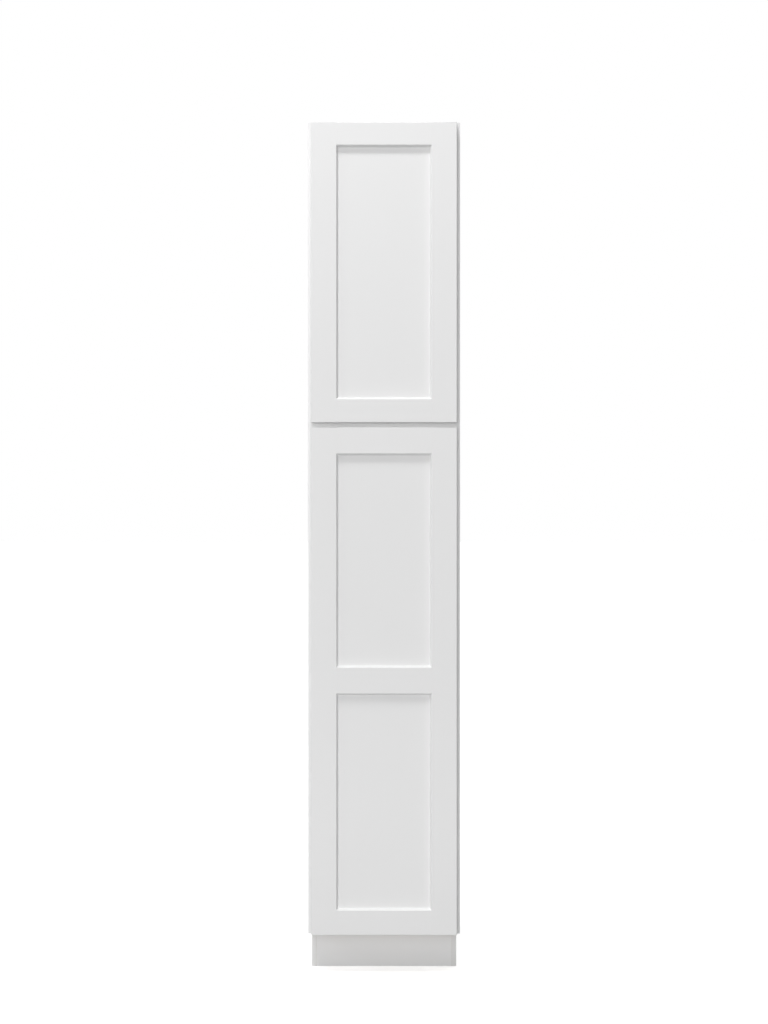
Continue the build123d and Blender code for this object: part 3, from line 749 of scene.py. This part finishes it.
panel_lacquer = satin_lacquer("satin white lacquer on fibreboard", upright)
bore_radius = 17.5 * mm
bore_depth = 12.5 * mm
bore_steps = 48
cup_screw_radius = 1.65 * mm
cup_screw_depth = 11.05 * mm
for door, panels, middle_rails in (
    ("upper_door", ["panel"], []),
    ("lower_door", ["lower_panel", "upper_panel"], ["middle_rail"]),
):
    low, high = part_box(f"{door}_left_stile")
    far_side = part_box(f"{door}_right_stile")[1].x
    front = low.y
    stile_width = high.x - low.x - slope
    stile = edge_section(stile_width)
    hinge_stile = door_bar(
        f"{door}_hinge_stile", stile, lambda a, d, s: (low.x + a, front + d, s), low.z, high.z, False
    )
    cutter = bmesh.new()
    for centre, _ in solids_of(f"{door}_hinge_cups"):
        bore_floor = high.y - bore_depth
        drill(cutter, centre, front_to_back, bore_radius, bore_floor, high.y + clear, bore_steps)
    carve(hinge_stile, cutter)
    cutter = bmesh.new()
    for centre, _ in solids_of(f"{door}_hinge_cup_screws"):
        hole_floor = high.y - cup_screw_depth
        drill(cutter, centre, front_to_back, cup_screw_radius, hole_floor, high.y + clear)
    carve(hinge_stile, cutter)
    latch_stile = door_bar(
        f"{door}_latch_stile", stile, lambda a, d, s: (far_side - a, front + d, s), low.z, high.z, False
    )
    for piece, node, side, inward in (
        (hinge_stile, f"{door}_left_stile", low.x, 1),
        (latch_stile, f"{door}_right_stile", far_side, -1),
    ):
        cutter = bmesh.new()
        rounded_edge(cutter, lambda a, d, s: (side + inward * a, front + d, s), low.z, high.z)
        carve(piece, cutter)
        cutter = bmesh.new()
        for edge, up in ((low.z, 1), (high.z, -1)):
            rounded_edge(cutter, lambda a, d, s: (s, front + d, edge + up * a), low.x, far_side)
        carve(piece, cutter)
        complete(piece, upright_lacquer, door, "white_lacquer", node)
    start = low.x + stile_width
    end = far_side - stile_width
    for rail in ["top_rail", "bottom_rail"] + middle_rails:
        bottom, top = (corner.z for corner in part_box(f"{door}_{rail}"))
        width = top - bottom - slope
        if rail == "middle_rail":
            section = middle_section(width - slope)
            origin, up = (bottom + top) / 2, 1
            tongue_high = (top - bottom) / 2 - groove_depth
            tongue_low = -tongue_high
        else:
            section = edge_section(width)
            origin, up = (top, -1) if rail == "top_rail" else (bottom, 1)
            tongue_high = width + slope - groove_depth
            tongue_low = 0
        on_rail = lambda a, d, s: (s, front + d, origin + up * a)
        piece = door_bar(f"{door}_{rail}_bar", section, on_rail, start, end, True)
        if rail != "middle_rail":
            cutter = bmesh.new()
            rounded_edge(cutter, on_rail, low.x, far_side)
            carve(piece, cutter)
        add_tongues(piece, tongue_low, tongue_high, on_rail, start, end)
        complete(piece, level_lacquer, door, "white_lacquer", f"{door}_{rail}")
    for panel in panels:
        keep_cad(f"{door}_{panel}", panel_lacquer, thin_arris)

# ---------------------------------------------------------------------------
# Bumpers
# Clear silicone domes 8 mm across, stuck to the latch side of each door's back so that it closes
# quietly. Each stands 1.7 mm high in the 2 mm gap between the door and the frame.
# ---------------------------------------------------------------------------
haze_size = 1.5 * mm


def clear_silicone(name):
    """Moulded clear silicone. The eye sees a milky, slightly rough, half see-through rubber."""
    material, tree, surface = new_finish(name)
    point = add(tree, "TexCoord").outputs["Object"]
    haze = add(tree, "TexNoise", {"Vector": point, "Scale": 1 / haze_size, "Detail": 3.0})
    tone = add(
        tree, "Mix", {"Factor": haze.outputs["Fac"], "A": linear("#DDE2E2"), "B": linear("#F2F5F5")},
        data_type="RGBA",
    )
    rough = add(
        tree, "MapRange",
        {"Value": haze.outputs["Fac"], "To Min": 0.22, "To Max": 0.38, **noise_span},
    )
    tree.links.new(tone.outputs["Result"], surface.inputs["Base Color"])
    tree.links.new(rough.outputs[0], surface.inputs["Roughness"])
    surface.inputs["IOR"].default_value = 1.41
    surface.inputs["Transmission Weight"].default_value = 0.75
    return material


silicone = clear_silicone("clear moulded silicone")
dome_steps = 32
dome = [(0, 1.7), (1.5, 1.62), (2.7, 1.35), (3.5, 0.85), (3.9, 0.3), (4.0, 0), (0, 0)]
for door in ("upper_door", "lower_door"):
    door_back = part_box(f"{door}_right_stile")[1].y
    bm = bmesh.new()
    for centre, _ in solids_of(f"{door}_bumpers"):
        lathe(
            bm, dome, lambda a, b, along: (centre.x + a, door_back + along, centre.z + b), dome_steps
        )
    complete(loose_object(f"{door}_domes", bm), silicone, door, "clear_silicone", f"{door}_bumpers")

# ---------------------------------------------------------------------------
# Hinges
# Concealed hinges of pressed, nickel-plated steel: a cup bored into the door with a soft-close
# damper, an arm screwed to the frame, and a wide inner and two thin outer links on pins. The
# cross-headed screws are countersunk in the cup's flange and domed on the arm.
# ---------------------------------------------------------------------------
mould_grit = 0.3 * mm


def damper_plastic(name):
    """Moulded grey acetal. The eye sees a slick mid grey with a fine spark-eroded mould texture."""
    material, tree, surface = new_finish(name)
    point = add(tree, "TexCoord").outputs["Object"]
    grit = add(tree, "TexNoise", {"Vector": point, "Scale": 1 / mould_grit, "Detail": 2.0})
    tone = add(
        tree, "Mix", {"Factor": grit.outputs["Fac"], "A": linear("#8B8F92"), "B": linear("#999DA0")},
        data_type="RGBA",
    )
    bump = add(tree, "Bump", {"Height": grit.outputs["Fac"], "Strength": 0.25, "Distance": 0.05 * mm})
    tree.links.new(tone.outputs["Result"], surface.inputs["Base Color"])
    tree.links.new(bump.outputs[0], surface.inputs["Normal"])
    surface.inputs["Roughness"].default_value = 0.42
    surface.inputs["IOR"].default_value = 1.48
    return material


recess_top, recess_floor = 0.2 * mm, -1.3 * mm
recess_half_length, recess_half_floor = 1.9 * mm, 1.5 * mm
recess_half_width = 0.4 * mm
recess_outline = [
    (-recess_half_length, recess_top),
    (recess_half_length, recess_top),
    (recess_half_floor, recess_floor),
    (-recess_half_floor, recess_floor),
]


def cross_recess(piece, places):
    """Cuts the tapered recess of a cross-head screw at each place, one slot after the other."""
    for turn in (lambda a, b, s: (s, a, b), lambda a, b, s: (a, s, b)):
        cutter = bmesh.new()
        for place in places:
            prism(
                cutter, recess_outline, -recess_half_width, recess_half_width,
                lambda a, b, s: place(*turn(a, b, s)),
            )
        carve(piece, cutter)


pressed_nickel = nickel_plate("nickel plate on pressed steel", 0.27)
acetal = damper_plastic("grey moulded acetal")
domed_screw = [
    (0, 1.6), (1.5, 1.52), (2.6, 1.2), (3.3, 0.65), (3.6, 0.1), (3.5, 0), (1.9, 0), (1.9, -18.5), (0, -20)
]
flush_screw = [(0, 0), (3.2, 0), (3.4, -0.12), (1.6, -1.8), (1.6, -10.5), (0, -12)]
domed_head = 1.6 * mm
# the pins' riveted ends, in mm
rivet_edge, rivet_rise, rivet_crown = 0.1, 0.2, 0.25
rivet_taper = 0.7
for door in ("upper_door", "lower_door"):
    for part in ("hinge_cups", "hinge_arms", "hinge_inner_links", "hinge_outer_links"):
        refinish(f"{door}_{part}", pressed_nickel)
    refinish(f"{door}_hinge_dampers", acetal)

    bm = bmesh.new()
    tops = []
    for centre, half in solids_of(f"{door}_hinge_arm_screws"):
        top = centre.x + half.x
        tops.append(lambda a, b, along, top=top, centre=centre: (top + along, centre.y + a, centre.z + b))
        lathe(bm, domed_screw, lambda a, b, along: (top - domed_head + along, centre.y + a, centre.z + b))
    piece = loose_object(f"{door}_arm_screws", bm)
    cross_recess(piece, tops)
    complete(piece, turned_nickel, "cabinet", "nickel_plated_steel", f"{door}_hinge_arm_screws")

    bm = bmesh.new()
    tops = []
    for centre, half in solids_of(f"{door}_hinge_cup_screws"):
        top = centre.y + half.y
        tops.append(lambda a, b, along, top=top, centre=centre: (centre.x + a, top + along, centre.z + b))
        lathe(bm, flush_screw, tops[-1])
    piece = loose_object(f"{door}_cup_screws", bm)
    cross_recess(piece, tops)
    complete(piece, turned_nickel, door, "nickel_plated_steel", f"{door}_hinge_cup_screws")

    for kind, body in (("arm_pins", "cabinet"), ("cup_pins", door)):
        bm = bmesh.new()
        for centre, half in solids_of(f"{door}_hinge_{kind}"):
            radius = half.x / mm
            length = half.z / mm
            upper_half = [
                (radius, length - rivet_edge),
                (rivet_taper * radius, length + rivet_rise),
                (0, length + rivet_crown),
            ]
            lower_half = [(r, -along) for r, along in reversed(upper_half)]
            lathe(
                bm, lower_half + upper_half,
                lambda a, b, along: (centre.x + a, centre.y + b, centre.z + along),
            )
        piece = loose_object(f"{door}_{kind}", bm)
        complete(piece, turned_nickel, body, "nickel_plated_steel", f"{door}_hinge_{kind}")

# ---------------------------------------------------------------------------
# Floor, lights and camera
# A white floor in a white surround. A key light from high in front and a broad frontal fill light
# the whole door, a small box overhead fades down it, a box at the left lights the reveal and the
# side, and a low box in front lights the toe kick.
# ---------------------------------------------------------------------------
floor_reach = 60.0
floor_glow = 0.55
corners = [(-floor_reach, -floor_reach, 0), (floor_reach, -floor_reach, 0)]
corners += [(floor_reach, floor_reach, 0), (-floor_reach, floor_reach, 0)]
floor_mesh = bpy.data.meshes.new("floor")
floor_mesh.from_pydata(corners, [], [(0, 1, 2, 3)])
floor = bpy.data.objects.new("floor", floor_mesh)
bpy.context.scene.collection.objects.link(floor)
# matt paint that looks pure white, but throws only a grey's worth of light back onto the cabinet
paint, tree, surface = new_finish("matt white floor paint")
seen = add(tree, "LightPath").outputs["Is Camera Ray"]
tone = add(
    tree, "Mix", {"Factor": seen, "A": linear("#8C8C8C"), "B": linear("#FFFFFF")}, data_type="RGBA"
)
glow = add(tree, "Math", {0: seen, 1: floor_glow}, operation="MULTIPLY")
tree.links.new(tone.outputs["Result"], surface.inputs["Base Color"])
tree.links.new(glow.outputs[0], surface.inputs["Emission Strength"])
surface.inputs["Emission Color"].default_value = linear("#FFFFFF")
surface.inputs["Roughness"].default_value = 1.0
surface.inputs["Specular IOR Level"].default_value = 0.0
floor_mesh.materials.append(paint)
floor.visible_shadow = False

world = bpy.data.worlds.new("white studio")
bpy.context.scene.world = world
world.use_nodes = True
tree = world.node_tree
background = tree.nodes["Background"]
seen = add(tree, "LightPath").outputs["Is Camera Ray"]
direction = add(tree, "SeparateXYZ", {"Vector": add(tree, "TexCoord").outputs["Generated"]})
# dim in front, so that the panels keep their shadows, and bright behind, where no lamp reaches
front_to_rear = {"From Min": -0.35, "From Max": 0.3, "To Min": 0.07, "To Max": 1.0}
behind = add(tree, "MapRange", {"Value": direction.outputs["Y"], **front_to_rear})
strength = add(tree, "Mix", {"Factor": seen, "A": behind.outputs[0], "B": 1.0})
tree.links.new(strength.outputs["Result"], background.inputs["Strength"])
background.inputs["Color"].default_value = linear("#FFFFFF")

door_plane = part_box("upper_door_left_stile")[0].y


def softbox(name, place, target, width, height, watts):
    """A soft rectangular light that the camera doesn't see."""
    light = bpy.data.lights.new(name, "AREA")
    light.shape = "RECTANGLE"
    light.size = width
    light.size_y = height
    light.energy = watts
    lamp = bpy.data.objects.new(name, light)
    bpy.context.scene.collection.objects.link(lamp)
    lamp.location = place
    lamp.rotation_euler = (Vector(target) - lamp.location).to_track_quat("-Z", "Y").to_euler()
    lamp.visible_camera = False


def broad_light(name, heading, strength, spread):
    """An even light that travels along heading, softened by its spread in degrees."""
    light = bpy.data.lights.new(name, "SUN")
    light.energy = strength
    light.angle = math.radians(spread)
    lamp = bpy.data.objects.new(name, light)
    bpy.context.scene.collection.objects.link(lamp)
    lamp.rotation_euler = Vector(heading).to_track_quat("-Z", "Y").to_euler()


upper_door_aim = (0, door_plane, 1.6)
toe_kick_aim = (0, door_plane, 0.12)
broad_light("key", heading=(0.4, 1.0, -2.35), strength=0.86, spread=10)
broad_light("fill", heading=(0.12, 1.0, -0.05), strength=1.43, spread=50)
overhead = (-0.4, door_plane - 0.9, 4.2)
left_of_camera = (-3.6, door_plane - 1.45, 2.6)
near_floor = (-0.2, door_plane - 1.5, 0.14)
softbox("overhead", overhead, upper_door_aim, width=0.5, height=0.5, watts=31)
softbox("side", left_of_camera, upper_door_aim, width=1.2, height=1.2, watts=17)
softbox("low", near_floor, toe_kick_aim, width=1.4, height=0.24, watts=2.1)

camera_data = bpy.data.cameras.new("camera")
camera = bpy.data.objects.new("camera", camera_data)
bpy.context.scene.collection.objects.link(camera)
bpy.context.scene.camera = camera
camera_distance = 4.22
eye_height = 1.158
camera.location = (0, door_plane - camera_distance, eye_height)
camera.rotation_euler = (math.radians(90), 0, 0)
height_in_view = 2.5523
camera_data.sensor_fit = "VERTICAL"
camera_data.sensor_height = 24
camera_data.lens = camera_data.sensor_height * camera_distance / height_in_view

bpy.context.scene.view_settings.view_transform = "Standard"
